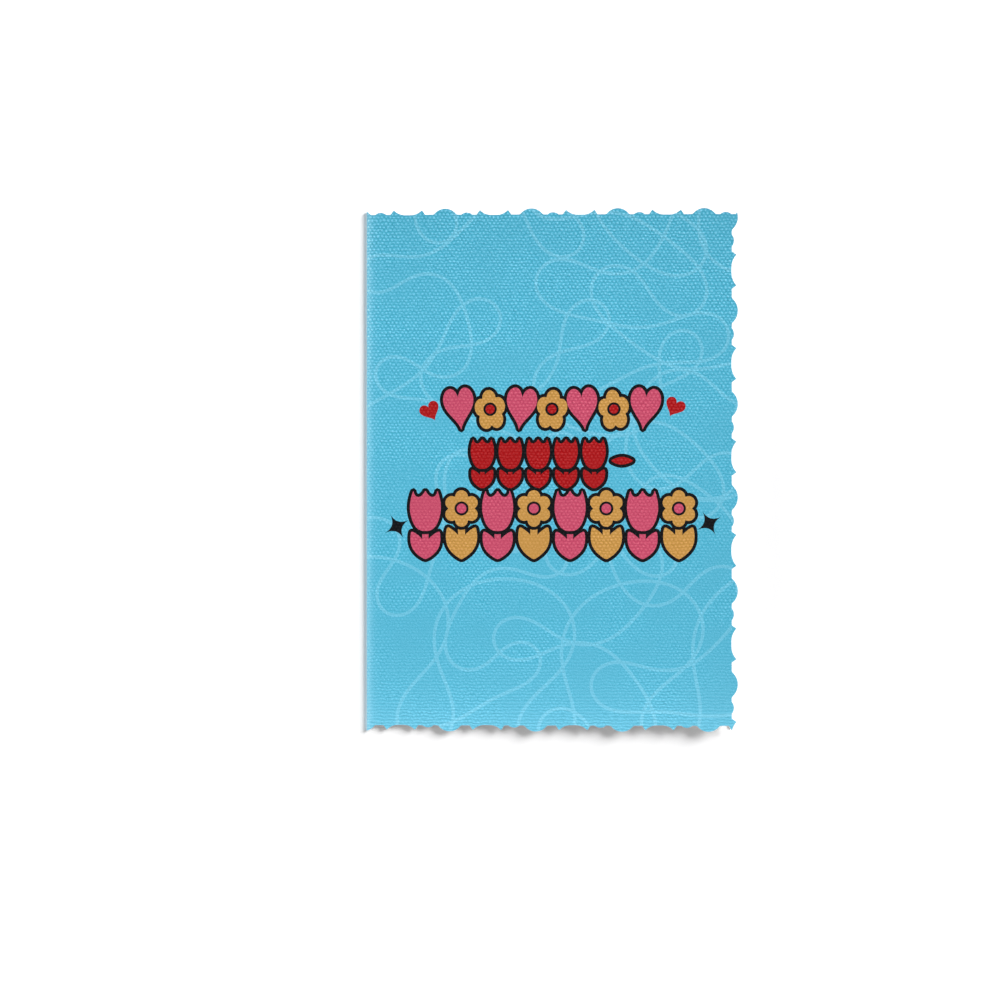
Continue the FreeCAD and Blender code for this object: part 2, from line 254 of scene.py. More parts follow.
class CardWeaveSizes(bpy.types.PropertyGroup):
    """Sizes of the canvas weave pressed into the stock."""

    warp_pitch: length("Warp pitch", 0.565, "Upright threads, one to the next")
    weft_pitch: length("Weft pitch", 0.904, "Level threads, one to the next")
    relief: length("Relief", 0.12, "Crown of a thread above the pits")
    # Painted highlight on the thread crowns and painted shade in the pits: a gain on the ink by the
    # crown mask
    contrast: share("Contrast", 0.46, "How much lighter the print lies on the crowns")
    show_through: share("Show-through", 0.16, "How much stock shows on the crowns in a thin ink")
    wobble: share("Wobble", 0.5, "How far a thread strays, as a share of the pitch")
    shallow: share("Shallow", 0.22, "How deep the weave is at the foot, as a share of the head's")
    patchiness: share("Patchiness", 1.2, "How much the depth of the weave comes and goes")
    unevenness: share("Unevenness", 4.6, "How much one crown differs from the next")
    streak_reach: length("Streak reach", 12.0, "How far up from the foot the level threads show")
    mottling: share("Mottling", 0.12, "How much the ink's tone comes and goes")


class CardWearAndPaintedLightSizes(bpy.types.PropertyGroup):
    """Where the ground's ink is painted light and shade: a painted highlight along the fold, partly
    wear, painted light at the foot, and painted shade at the head and the free side.
    """

    # Painted highlight along the fold, partly wear: a band and its run-out, a gain on the ink and
    # pale stock bared
    fold_wear_and_highlight_band: length("Fold band", 0.75, "Half of the evenly worn band along the fold")
    fold_wear_and_highlight_reach: length("Fold reach", 0.9, "How far the wear runs out beside that band")
    fold_highlight_gain: share("Fold gain", 0.46, "How much lighter the ink is along the fold")
    fold_bare_and_highlight: share("Fold bare", 0.1, "How much stock shows in the pits along the fold")
    # Painted light at the foot: the ink painted brighter and whiter towards the foot's cut
    foot_painted_light_reach: length("Foot reach", 9.5, "How far up from the foot the wear runs out")
    foot_painted_light_gain: share("Foot gain", 0.2, "How much lighter the ink is at the foot")
    foot_painted_whitening: share("Foot bare", 0.06, "How much stock shows at the foot")
    # Painted shade: the ink painted darker towards the head
    head_painted_shade_reach: length("Head reach", 16.0, "How far down from the head the dense ink runs out")
    head_painted_shade: share("Head loss", 0.1, "How much darker the ink is at the head")
    # Painted shade: the ink painted darker towards the free side
    side_painted_shade: share("Side loss", 0.06, "How much darker the ink is at the free side")


class CardStageSizes(bpy.types.PropertyGroup):
    """Camera, floor and lamps."""

    lens: share("Lens", 85.0, "Focal length in millimetres, on a 36 mm sensor")
    sensor: share("Sensor", 36.0, "Sensor width in millimetres")
    frame_width: length("Frame width", 282.5, "Width that the camera sees at the front of the card")
    centre_x: length("Centre across", -14.7, "Camera's place to the right of the card's middle")
    centre_y: length("Centre along", -8.5, "Camera's place above the card's middle")
    floor_size: length("Floor", 4000.0, "Side of the square floor")
    glow_near: share("Near glow", 0.1, "The floor's own light beside the card")
    glow_from: length("Glow from", 70.0, "Where the floor's own light begins to grow")
    glow_to: length("Glow to", 800.0, "Where the floor has run into the white world")
    ambient: share("Ambient", 0.2, "Strength of the light from all round")


def sizes():
    """The scene's own property groups."""
    return bpy.context.scene.folded_card


class CardSizes(bpy.types.PropertyGroup):
    """Everything that a user can change."""

    sheet: group_of(CardSheetSizes, "Sheet", "Folded sheet")
    deckle: group_of(CardDeckleSizes, "Deckle", "Cut edge")
    print: group_of(CardPrintSizes, "Print", "Inks and motifs")
    weave: group_of(CardWeaveSizes, "Weave", "Canvas texture")
    # Painted highlight along the fold, partly wear, painted light at the foot, painted shade at the
    # head and the free side
    wear_and_painted_light: group_of(CardWearAndPaintedLightSizes, "Wear", "Pale and dense ink")
    stage: group_of(CardStageSizes, "Stage", "Camera and light")


class Section:
    """The folded sheet's outer face, as x, z and outward normal at each flat place u."""

    def __init__(self, size):
        self.outer = size.fold_inner_radius + size.thickness
        self.steep = size.shoulder_angle
        gentle = size.spring_angle
        self.fold_x = self.outer - size.leaf_width / 2
        self.fold_length = self.outer * (math.pi - self.steep)
        self.shoulder = size.shoulder_radius
        self.bow = size.bow_radius
        self.start = self.fold_x - self.outer * math.sin(self.steep)
        self.back_start = self.start - self.fold_length
        self.fold_line = self.start - self.outer * (math.pi / 2 - self.steep)
        off_fold = self.shoulder - self.outer
        off_shoulder = self.bow - self.shoulder
        self.shoulder_x = self.fold_x + off_fold * math.sin(self.steep)
        self.shoulder_z = self.outer - off_fold * math.cos(self.steep)
        self.bow_x = self.shoulder_x + off_shoulder * math.sin(gentle)
        self.bow_z = self.shoulder_z - off_shoulder * math.cos(gentle)
        self.shoulder_end = self.shoulder_x - self.shoulder * math.sin(gentle)

    def back_u(self, x):
        """Flat place of a point of the back leaf."""
        return self.back_start - (x - self.fold_x)

    def run(self, u):
        """Front: x is u, on the shoulder's arc and then the bow's. Fold: an arc about its centre,
        turned by the distance past the front's start over the radius. Back: flat, z is 0."""
        on_bow = u > self.shoulder_end
        radius = np.where(on_bow, self.bow, self.shoulder)
        lean = (u - np.where(on_bow, self.bow_x, self.shoulder_x)) / radius
        front_up = np.sqrt(np.maximum(1 - lean**2, 0))
        front_z = np.where(on_bow, self.bow_z, self.shoulder_z) + radius * front_up
        turn = math.pi / 2 + self.steep + (self.start - u) / self.outer
        fold_x = self.fold_x + self.outer * np.cos(turn)
        fold_z = self.outer + self.outer * np.sin(turn)
        back_x = self.fold_x + (self.back_start - u)
        parts = [u >= self.start, u >= self.back_start]
        x = np.select(parts, [u, fold_x], back_x)
        z = np.select(parts, [front_z, fold_z], 0.0)
        normal_x = np.select(parts, [lean, np.cos(turn)], 0.0)
        normal_z = np.select(parts, [front_up, np.sin(turn)], -1.0)
        return x, z, normal_x, normal_z


def bulge(run, radius, rise):
    """An arc that stands up from the base line by rise where run is 0."""
    return np.sqrt(np.maximum(radius**2 - run**2, 0)) - (radius - rise)


def hollow(run, radius, floor):
    """An arc that dips down to floor where run is 0."""
    return floor + radius - np.sqrt(np.maximum(radius**2 - run**2, 0))


class Deckle:
    """One side's cut: its height above the base line at each distance from a scallop's middle."""

    def __init__(self, cut, stretch):
        self.pitch = cut.repeat_length * stretch
        self.lead = cut.seam_offset * stretch
        self.rise = cut.scallop_rise
        self.dome = cut.scallop_radius * stretch**2
        self.fillet = cut.scallop_fillet * stretch**2
        self.foot = math.sqrt(self.rise * (2 * (self.dome + self.fillet) - self.rise))
        self.meet = self.foot * self.dome / (self.dome + self.fillet)
        self.bump = cut.bump_offset * stretch
        self.bump_half = cut.bump_width * stretch / 2
        self.bump_rise = cut.bump_rise
        self.bump_radius = (self.bump_half**2 + self.bump_rise**2) / (2 * self.bump_rise)
        self.first = cut.first_horn * stretch
        self.second = cut.second_horn * stretch
        self.horn = cut.horn_rise
        self.horn_foot = cut.horn_foot * stretch
        self.flank = cut.scoop_radius * stretch**2
        self.floor = -cut.scoop_depth
        drop = self.horn - self.floor
        self.flank_run = math.sqrt(drop * (2 * self.flank - drop))

    def height(self, run):
        """Scallop with a hollow at each foot, bump, horn, scoop with two hollow flanks, horn."""
        t = (run + self.lead) % self.pitch - self.lead
        off, past_bump = np.abs(t), t - self.bump
        scoop_from = self.first + self.flank_run
        scoop_to = self.second - self.flank_run
        climb = (self.first - t) / self.horn_foot
        drop = (t - self.second) / self.horn_foot
        pieces = (
            (off < self.meet, bulge(off, self.dome, self.rise)),
            (off < self.foot, hollow(self.foot - off, self.fillet, 0.0)),
            (abs(past_bump) < self.bump_half, bulge(past_bump, self.bump_radius, self.bump_rise)),
            (t < self.first - self.horn_foot, np.zeros_like(t)),
            (t < self.first, self.horn * (1 - climb)),
            (t < scoop_from, hollow(scoop_from - t, self.flank, self.floor)),
            (t < scoop_to, np.full_like(t, self.floor)),
            (t < self.second, hollow(t - scoop_to, self.flank, self.floor)),
            (t < self.second + self.horn_foot, self.horn * (1 - drop)),
        )
        return np.select([test for test, _ in pieces], [value for _, value in pieces], 0.0)

    def places(self, low, high, step):
        """Distances from low to high at an even step, and at every corner of the cut."""
        corners = np.array([
            -self.foot, -self.meet, self.meet, self.foot,
            self.bump - self.bump_half, self.bump + self.bump_half,
            self.first - self.horn_foot, self.first, self.first + self.flank_run,
            self.second - self.flank_run, self.second, self.second + self.horn_foot,
        ])
        repeats = np.arange(math.floor(low / self.pitch) - 1, math.ceil(high / self.pitch) + 1)
        corners = (corners[None, :] + repeats[:, None] * self.pitch).ravel()
        corners = corners[(corners > low) & (corners < high)]
        even = np.linspace(low, high, math.ceil((high - low) / step) + 1)
        gap = np.abs(even[:, None] - corners[None, :]).min(1)
        return np.sort(np.concatenate([even[gap > step / 4], corners]))


class Trim:
    """The cut outline: head, free side and foot, as functions of a place along them."""

    def __init__(self, size, cut):
        self.short = Deckle(cut, 1.0)
        self.long = Deckle(cut, cut.side_stretch)
        self.half_width = size.leaf_width / 2
        self.half_height = size.leaf_height / 2
        self.rise = cut.scallop_rise
        self.head_from = cut.head_phase - self.half_width
        self.side_from = self.half_height - cut.side_phase
        self.foot_from = self.half_width - cut.foot_phase

    def head(self, x):
        """Upper edge of the card, y at each x."""
        return self.half_height - self.rise + self.short.height(x - self.head_from)

    def foot(self, x):
        """Lower edge of the card, y at each x. The repeat runs from the free side to the fold."""
        return self.rise - self.half_height - self.short.height(self.foot_from - x)

    def side(self, y):
        """Free edge of the card, x at each y. The repeat runs downwards."""
        return self.half_width - self.rise + self.long.height(self.side_from - y)

    def holds(self, x, y):
        """Which points lie on the card."""
        return (y < self.head(x)) & (y > self.foot(x)) & (x < self.side(y))


class Net:
    """Points and edges that the sheet's mesh keeps."""

    def __init__(self):
        self.points = []
        self.edges = []
        self.count = 0

    def add_points(self, points):
        """Adds loose points."""
        self.points.append(points)
        self.count += len(points)

    def add_line(self, points, closed=False):
        """Adds a polyline, open or closed."""
        index = np.arange(self.count, self.count + len(points))
        edges = np.stack([index, np.roll(index, -1)], axis=1)
        self.edges.append(edges if closed else edges[:-1])
        self.add_points(points)

    def triangles(self, snap):
        """Constrained Delaunay triangulation of it all, as points and triangles."""
        points = np.concatenate(self.points)
        edges = np.concatenate(self.edges)
        made = delaunay_2d_cdt(points.tolist(), edges.tolist(), [], 0, snap, False)
        return np.array(made[0]), np.array(made[2])


def column(u, y):
    """Points at one u and many y."""
    return np.stack([np.full_like(y, u), y], axis=1)


def fitted(loop, width, height):
    """Scales a closed loop to a width and height and centres it."""
    low, high = loop.min(0), loop.max(0)
    return (loop - (low + high) / 2) / (high - low) * (width, height)


def around(count):
    """Even angles once round, anticlockwise."""
    return np.linspace(0, 2 * np.pi, count, endpoint=False)


def heart(width, height, count=90):
    """x is the cube of a sine, y a falling sum of four cosines of the same angle."""
    t = -around(count)
    y = 13 * np.cos(t) - 5 * np.cos(2 * t) - 2 * np.cos(3 * t) - np.cos(4 * t)
    return fitted(np.stack([np.sin(t) ** 3, y], axis=1), width, height)


def rosette(width, height, petals, depth, roundness=0.65, count=120):
    """The radius falls by depth between petals, as a root of a cosine, so the valleys are sharp."""
    t = around(count)
    radius = 1 - depth * (1 - np.abs(np.cos(petals * (t - np.pi / 2) / 2)) ** roundness)
    return fitted(np.stack([radius * np.cos(t), radius * np.sin(t)], axis=1), width, height)


def tulip(width, height, dip=0.34, roundness=0.8, squareness=0.75, narrowing=0.2, count=60):
    """Cup of half a superellipse, closed above by three points with round valleys between them.
    It narrows towards the top by a square of the height."""
    narrow_from = 0.2
    across = np.linspace(1, -1, count, endpoint=False)
    top = 1 - dip * np.abs(np.sin(np.pi * across)) ** roundness
    under = np.linspace(np.pi, 2 * np.pi, count, endpoint=False)
    cup_x = np.sign(np.cos(under)) * np.abs(np.cos(under)) ** squareness
    cup_y = 1 - 2 * np.abs(np.sin(under)) ** roundness
    loop = np.stack([np.concatenate([across, cup_x]), np.concatenate([top, cup_y])], axis=1)
    loop[:, 0] *= 1 - narrowing * np.maximum(loop[:, 1] + narrow_from, 0) ** 2
    return fitted(loop, width, height)


def leaf(reach, width, turn, fullness=0.85, count=24):
    """Two arcs of a sine from the foot at 0, 0 to the tip, turned anticlockwise from level."""
    along = np.linspace(0, 1, count, endpoint=False)
    half = width / 2 * np.sin(np.pi * along) ** fullness
    lower = np.stack([along * reach, -half], axis=1)
    upper = np.stack([(1 - along) * reach, half], axis=1)
    loop = np.concatenate([lower, upper])
    cosine, sine = math.cos(turn), math.sin(turn)
    return loop @ np.array([[cosine, sine], [-sine, cosine]])


def disc(diameter, count=40):
    """A plain circle."""
    t = around(count)
    return diameter / 2 * np.stack([np.cos(t), np.sin(t)], axis=1)


def superellipse(width, height, power, count):
    """Sine and cosine raised to a power: a bar with well rounded ends where it is below one, a
    star of four points where it is well above."""
    t = around(count)
    wave = np.stack([np.cos(t), np.sin(t)], axis=1)
    return fitted(np.sign(wave) * np.abs(wave) ** power, width, height)


def softened(loop, reach, spacing=0.22 * MM, fewest=24):
    """Lays even points along a closed loop, then rounds it by a mean over reach to each side."""
    closed = np.concatenate([loop, loop[:1]])
    run = np.concatenate([[0], np.cumsum(np.linalg.norm(np.diff(closed, axis=0), axis=1))])
    count = max(int(run[-1] / spacing), fewest)
    even = np.linspace(0, run[-1], count, endpoint=False)
    loop = np.stack([np.interp(even, run, closed[:, axis]) for axis in (0, 1)], axis=1)
    half = round(reach / run[-1] * count)
    return sum(np.roll(loop, shift, axis=0) for shift in range(-half, half + 1)) / (2 * half + 1)


def grown(loop, distance):
    """A closed anticlockwise loop moved outwards along its own normals."""
    ahead = np.roll(loop, -1, axis=0) - np.roll(loop, 1, axis=0)
    ahead /= np.maximum(np.linalg.norm(ahead, axis=1, keepdims=True), 1e-12)
    return loop + distance * np.stack([ahead[:, 1], -ahead[:, 0]], axis=1)


def moved(layers, x, y, turn=0.0):
    """Turns a motif about its own middle and puts it in its place."""
    cosine, sine = math.cos(turn), math.sin(turn)
    spin = np.array([[cosine, sine], [-sine, cosine]])
    return [(step, colour, loop @ spin + (x, y)) for step, colour, loop in layers]


def rimmed(colour, loop, rim):
    """A filled, softened loop and the dark rim round it, as (step of printing, ink, loop)."""
    soft = softened(loop, rim / 2)
    return [(0, RIM, grown(soft, rim)), (1, colour, soft)]


def daisy(width, height, colour, eye, rim, petals, valley=0.3, eye_share=0.3, eye_rim=0.7):
    """A rimmed rosette with a rimmed eye of another colour."""
    across = eye_share * min(width, height)
    layers = rimmed(colour, rosette(width, height, petals, valley), rim)
    return layers + raised(rimmed(eye, disc(across), rim * eye_rim))


def raised(layers):
    """Prints layers after a rimmed shape below them."""
    return [(step + RIMMED_STEPS, colour, loop) for step, colour, loop in layers]


def stalk(reach, spread, height, colour, rim, stem=0.2, breadth=0.42):
    """A stem with a fat leaf on each side, all rimmed. Its foot is at 0, 0, and the leaves' tips
    lie at spread to each side."""
    bar = superellipse(reach * stem, height, power=0.6, count=48)
    layers = rimmed(colour, bar + (0, height / 2), rim)
    lean = math.acos(spread / reach)
    for turn in (lean, math.pi - lean):
        layers += rimmed(colour, leaf(reach, reach * breadth, turn), rim)
    return layers


def flower(bloom, bloom_height, height, spread, colour, rim, overlap=0.92):
    """A bloom on its stalk, centred on the whole height."""
    foot = -height / 2
    stem = height - bloom_height / 2
    reach = height - bloom_height * overlap
    layers = moved(stalk(reach, spread, stem, colour, rim), 0, foot)
    return layers + raised(moved(bloom, 0, height / 2 - bloom_height / 2))


def ornaments(places, colour, loop):
    """The same plain loop at each of several places and turns."""
    layers = []
    for x, y, turn in places:
        layers += moved([(1, colour, loop)], x * MM, y * MM, math.radians(turn))
    return layers


def upper_row(rim):
    """Pink hearts and amber blossoms in turn, with a small red heart at each end."""
    width, blossom_height, heart_height = 8.6 * MM, 11.0 * MM, 12.0 * MM
    count, pitch, y, tilt, petals = 7, 8.75 * MM, 17.2 * MM, 6, 5
    layers = []
    for place in range(count):
        if place % 2:
            whole = daisy(width, blossom_height, AMBER, RED, rim, petals)
        else:
            whole = rimmed(PINK, heart(width, heart_height), rim)
        turn = math.radians(-tilt if place % 4 > 1 else tilt)
        layers += moved(whole, (place - (count - 1) / 2) * pitch, y, turn)
    small = heart(5.7 * MM, 5.4 * MM)
    return layers + ornaments(SMALL_HEARTS, RED, small)


def middle_row(rim):
    """Five red tulips and a lone red petal."""
    width, bloom_height, height, spread = 6.6 * MM, 8.6 * MM, 14.2 * MM, 3.0 * MM
    count, first, pitch, y = 5, -19.7 * MM, 7.9 * MM, 1.8 * MM
    layers = []
    for place in range(count):
        bloom = rimmed(RED, tulip(width, bloom_height), rim)
        whole = flower(bloom, bloom_height, height, spread, RED, rim)
        layers += moved(whole, first + pitch * place, y)
    petal = rimmed(RED, leaf(6.4 * MM, 2.2 * MM, turn=0.0), rim)
    return layers + moved(petal, 16.6 * MM, 2.6 * MM)


def lower_row(rim):
    """Tall flowers, pink and amber in turn, with a four-point star at each end."""
    daisy_width, daisy_height, petals = 9.2 * MM, 10.4 * MM, 6
    tulip_width, tulip_height = 8.8 * MM, 11.6 * MM
    height, spread, y = 19.6 * MM, 4.0 * MM, -15.5 * MM
    count, pitch = 8, 10.24 * MM
    layers = []
    for place in range(count):
        if place % 2:
            bloom = daisy(daisy_width, daisy_height, AMBER, PINK, rim, petals)
            whole = flower(bloom, daisy_height, height, spread, AMBER, rim)
        else:
            bloom = rimmed(PINK, tulip(tulip_width, tulip_height), rim)
            whole = flower(bloom, tulip_height, height, spread, PINK, rim)
        layers += moved(whole, (place - (count - 1) / 2) * pitch, y)
    star = superellipse(8.4 * MM, 8.4 * MM, power=4, count=64)
    return layers + ornaments(STARS, RIM, star)


def motifs(rim):
    """Every motif of the print, as (ink, closed loop) in the order of printing."""
    layers = []
    for row in (upper_row(rim), middle_row(rim), lower_row(rim)):
        layers += sorted(row, key=lambda layer: layer[0])
    return [(colour, loop) for _, colour, loop in layers]


def wander(start, end, waves, count):
    """A line between two points. Its heading swings as a sum of sines of the distance run, and
    the summed steps are then turned and scaled so that both ends fall into place."""
    run = np.linspace(0, 1, count)
    turn = sum(swing * np.sin(2 * np.pi * (times * run + phase)) for swing, times, phase in waves)
    loose = np.cumsum(np.exp(1j * turn))
    loose -= loose[0]
    start, end = complex(*start), complex(*end)
    line = start + loose * (end - start) / loose[-1]
    return np.stack([line.real, line.imag], axis=1)


def wandering_lines(half_width, half_height, seed):
    """The lines of the ground: four cross the card and three run up it, all in wide loops."""
    draw = np.random.default_rng(seed)
    lines = []
    for levels, upright, wide, fine, count in LINE_FAMILIES:
        along, across = (half_height, half_width) if upright else (half_width, half_height)
        for level in levels:
            ends = []
            for way in (-1, 1):
                place = (level + draw.uniform(-LINE_DRIFT, LINE_DRIFT)) * across
                end = way * (along + LINE_SPARE)
                ends.append((place, end) if upright else (end, place))
            waves = []
            for swing, times in (wide, fine):
                waves.append((draw.uniform(*swing), draw.uniform(*times), draw.uniform(0, 1)))
            lines.append(wander(*ends, waves, count))
    return lines


def sides(line, half):
    """The two edges of a band about a line, off its own normals."""
    ahead = np.gradient(line, axis=0)
    ahead /= np.linalg.norm(ahead, axis=1, keepdims=True)
    off = half * np.stack([-ahead[:, 1], ahead[:, 0]], axis=1)
    return line + off, line - off


def near_line(points, line, reach, stretch=40):
    """Which points lie within reach of a polyline, looked up one stretch of it at a time."""
    near = np.zeros(len(points), bool)
    for first in range(0, len(line) - 1, stretch):
        part = line[first:first + stretch + 1]
        low, high = part.min(0) - reach, part.max(0) + reach
        rows = np.flatnonzero(((points > low) & (points < high)).all(axis=1))
        start, run = part[:-1], np.diff(part, axis=0)
        to = points[rows][:, None, :] - start
        place = np.clip((to * run).sum(2) / (run**2).sum(1), 0, 1)
        gap = np.linalg.norm(to - place[:, :, None] * run, axis=2)
        near[rows] |= gap.min(axis=1) < reach
    return near


def within(points, loop):
    """Which points a closed loop winds round: signed crossings of a ray that runs to the right."""
    inside = np.zeros(len(points), bool)
    low, high = loop.min(0), loop.max(0)
    rows = np.flatnonzero(((points > low) & (points < high)).all(axis=1))
    x, y = points[rows, 0][:, None], points[rows, 1][:, None]
    (x0, y0), (x1, y1) = loop.T, np.roll(loop, -1, axis=0).T
    rising, falling = (y0 <= y) & (y1 > y), (y1 <= y) & (y0 > y)
    left = (x1 - x0) * (y - y0) - (x - x0) * (y1 - y0)
    turns = (rising & (left > 0)).sum(1) - (falling & (left < 0)).sum(1)
    inside[rows] = turns != 0
    return inside


def lay_net(size, cut, section, trim):
    """The cut lines, the fold's columns and a loose grid, before the print is added."""
    net = Net()
    low_x, high_x = section.start, trim.half_width + NET_SPARE
    margin = trim.half_height + NET_SPARE
    fold = np.linspace(section.back_start, section.start, size.fold_columns + 1)
    for edge, origin, way in ((trim.head, trim.head_from, 1), (trim.foot, trim.foot_from, -1)):
        ends = sorted((way * (low_x - origin), way * (high_x - origin)))
        across = np.sort(origin + way * trim.short.places(*ends, cut.step))
        front, back = across[across > low_x], across[across > section.fold_x]
        u = np.concatenate([section.back_u(back)[::-1], fold, front])
        net.add_line(np.stack([u, edge(section.run(u)[0])], axis=1))
    ends = trim.side_from - margin, trim.side_from + margin
    down = trim.side_from - trim.long.places(*ends, cut.step)
    for place in (trim.side(down), section.back_u(trim.side(down))):
        net.add_line(np.stack([place, down], axis=1))
    rows = np.linspace(-margin, margin, math.ceil(2 * margin / size.grid))
    for u in fold:
        net.add_line(column(u, rows))
    shoulder = np.linspace(section.start, section.shoulder_end, SHOULDER_COLUMNS + 1)[1:]
    front = np.arange(section.shoulder_end + size.grid / 2, high_x + size.grid, size.grid)
    back = section.back_u(np.arange(section.fold_x + size.grid / 3, high_x + size.grid, size.grid))
    across, up = np.meshgrid(np.concatenate([shoulder, front, back]), rows)
    net.add_points(np.stack([across.ravel(), up.ravel()], axis=1))
    return net


def clipped(line, section, trim):
    """The stretch-by-stretch parts of a line that lie on the front, with a little to spare."""
    spare = 1.0 * MM
    keep = (line[:, 0] > section.fold_line - spare) & (line[:, 0] < trim.half_width + spare)
    keep &= np.abs(line[:, 1]) < trim.half_height + spare
    breaks = np.flatnonzero(np.diff(keep.astype(int))) + 1
    parts = np.split(line, breaks)
    flags = [group[0] for group in np.split(keep, breaks)]
    return [part for part, kept in zip(parts, flags) if kept and len(part) > 2]


def print_zones(middles, front, lines, layers, half):
    """The ink at each triangle's middle: ground, then lines, then motifs in printing order."""
    zone = np.full(len(middles), FIELD)
    spots = np.flatnonzero(front)
    points = middles[spots]
    found = np.full(len(points), FIELD)
    for line in lines:
        found[near_line(points, line, half)] = LINE
    for colour, loop in layers:
        found[within(points, loop)] = colour
    zone[spots] = found
    return zone


def open_edges(triangles, count):
    """Directed edges that only one triangle has."""
    edges = np.concatenate([triangles[:, [0, 1]], triangles[:, [1, 2]], triangles[:, [2, 0]]])
    keys = edges[:, 0] * count + edges[:, 1]
    reverse = edges[:, 1] * count + edges[:, 0]
    return edges[~np.isin(keys, reverse)]


def flat_sheet(settings, section, trim):
    """The sheet before it is folded: its points, its triangles and the ink of each."""
    prints = settings.print
    half = prints.line_width / 2
    lines = []
    for line in wandering_lines(trim.half_width, trim.half_height, prints.seed):
        lines += clipped(line, section, trim)
    layers = motifs(prints.rim_width)
    net = lay_net(settings.sheet, settings.deckle, section, trim)
    net.add_line(column(section.fold_line, np.array([-1, 1]) * (trim.half_height + MM)))
    for line in lines:
        for edge in sides(line, half):
            net.add_line(edge)
    for _, loop in layers:
        net.add_line(loop, closed=True)
    flat, triangles = net.triangles(SNAP)

    middles = flat[triangles].mean(axis=1)
    kept = trim.holds(section.run(middles[:, 0])[0], middles[:, 1])
    triangles, middles = triangles[kept], middles[kept]
    used, triangles = np.unique(triangles, return_inverse=True)
    front = middles[:, 0] > section.fold_line
    zone = print_zones(middles, front, lines, layers, half)
    return flat[used], triangles.reshape(-1, 3), zone


def sheet_arrays(settings):
    """Points, triangles, material numbers and flat places of the whole folded sheet.

    The flat mesh is carried round the fold as the outer face, repeated one thickness inside it
    with its triangles turned round, and joined to it by a wall along the cut.
    """
    size = settings.sheet
    section = Section(size)
    flat, triangles, zone = flat_sheet(settings, section, Trim(size, settings.deckle))
    x, z, normal_x, normal_z = section.run(flat[:, 0])
    outer = np.stack([x, flat[:, 1], z], axis=1)
    normals = np.stack([normal_x, np.zeros_like(x), normal_z], axis=1)
    inner = outer - size.thickness * normals
    count = len(flat)
    rim = open_edges(triangles, count)
    first, last = rim[:, 0], rim[:, 1]
    walls = np.concatenate([
        np.stack([last, first, first + count], axis=1),
        np.stack([last, first + count, last + count], axis=1),
    ])
    faces = np.concatenate([triangles, triangles[:, ::-1] + count, walls])
    inside = np.full(len(triangles), INSIDE)
    edge = np.full(len(walls), CUT_EDGE)
    materials = np.concatenate([zone, inside, edge])
    return np.concatenate([outer, inner]), faces, materials, np.concatenate([flat, flat])


def add_sheet_mesh(name, points, faces, materials, flat):
    """Puts the arrays into a mesh object, with the flat places as its UV map."""
    mesh = bpy.data.meshes.new(name)
    mesh.from_pydata(points, [], faces)
    mesh.polygons.foreach_set("material_index", materials.astype(np.int32))
    mesh.polygons.foreach_set("use_smooth", np.ones(len(faces), bool))
    layer = mesh.uv_layers.new(name=UV_LAYER)
    corners = np.empty(len(mesh.loops), np.int32)
    mesh.loops.foreach_get("vertex_index", corners)
    places = (flat - flat.min(0)) / UV_SPAN
    layer.data.foreach_set("uv", places[corners].ravel())
    mesh.set_sharp_from_angle(angle=SHARP_ANGLE)
    mesh.validate()
    piece = bpy.data.objects.new(name, mesh)
    bpy.context.collection.objects.link(piece)
    return piece


class Nodes:
    """A short way to write a node tree."""

    def __init__(self, tree):
        self.tree = tree

    def add(self, kind, values=(), links=(), **settings):
        """Adds a node, sets its options and input values, and links its inputs."""
        node = self.tree.nodes.new(kind)
        for name, value in settings.items():
            setattr(node, name, value)
        for name, value in values:
            node.inputs[name].default_value = value
        for name, source in links:
            self.tree.links.new(source, node.inputs[name])
        return node

    def step(self, kind, operation, terms):
        """One step of arithmetic, on constants and sockets."""
        node = self.add(kind, operation=operation)
        for place, term in enumerate(terms):
            if isinstance(term, bpy.types.NodeSocket):
                self.tree.links.new(term, node.inputs[place])
            else:
                node.inputs[place].default_value = term
        return node.outputs[0]

    def maths(self, operation, *terms):
        """A step on numbers."""
        return self.step("ShaderNodeMath", operation, terms)

    def vector(self, operation, *terms):
        """A step on vectors."""
        return self.step("ShaderNodeVectorMath", operation, terms)

    def noise(self, place, name):
        """One of the weave's noises, in the plane of the sheet."""
        across, up, detail = NOISES[name]
        spread = self.vector("MULTIPLY", place, (UV_SPAN / (across * MM), UV_SPAN / (up * MM), 0.0))
        values = [("Scale", 1.0), ("Detail", detail)]
        return self.add("ShaderNodeTexNoise", values, [("Vector", spread)], noise_dimensions="2D")

    def centred(self, place, name):
        """The same noise, about 0."""
        return self.maths("SUBTRACT", self.noise(place, name).outputs["Fac"], MIDDLE)

    def parted(self, vector):
        """The first two parts of a vector."""
        axes = self.add("ShaderNodeSeparateXYZ", [], [("Vector", vector)])
        return axes.outputs["X"], axes.outputs["Y"]

    def fade(self, distance, reach):
        """An exponential that falls from 1 over a reach. The distance is in UV."""
        return self.maths("EXPONENT", self.maths("MULTIPLY", distance, -UV_SPAN / reach))

    def scaled(self, colour, gain):
        """A constant colour times a socket."""
        values, links = [(0, colour)], [("Scale", gain)]
        return self.add("ShaderNodeVectorMath", values, links, operation="SCALE").outputs["Vector"]

    def surface(self, shade, height, strength, distance, roughness, specular):
        """A rough surface with bumps, put out as the material."""
        values = [("Strength", strength), ("Distance", distance)]
        bump = self.add("ShaderNodeBump", values, [("Height", height)])
        values = [("Roughness", roughness), ("Specular IOR Level", specular)]
        links = [("Base Color", shade), ("Normal", bump.outputs["Normal"])]
        shader = self.add("ShaderNodeBsdfPrincipled", values, links)
        self.add("ShaderNodeOutputMaterial", [], [("Surface", shader.outputs["BSDF"])])


def emptied(owner):
    """The node tree of a material or a world, turned on and cleared."""
    owner.use_nodes = True
    owner.node_tree.nodes.clear()
    return Nodes(owner.node_tree)


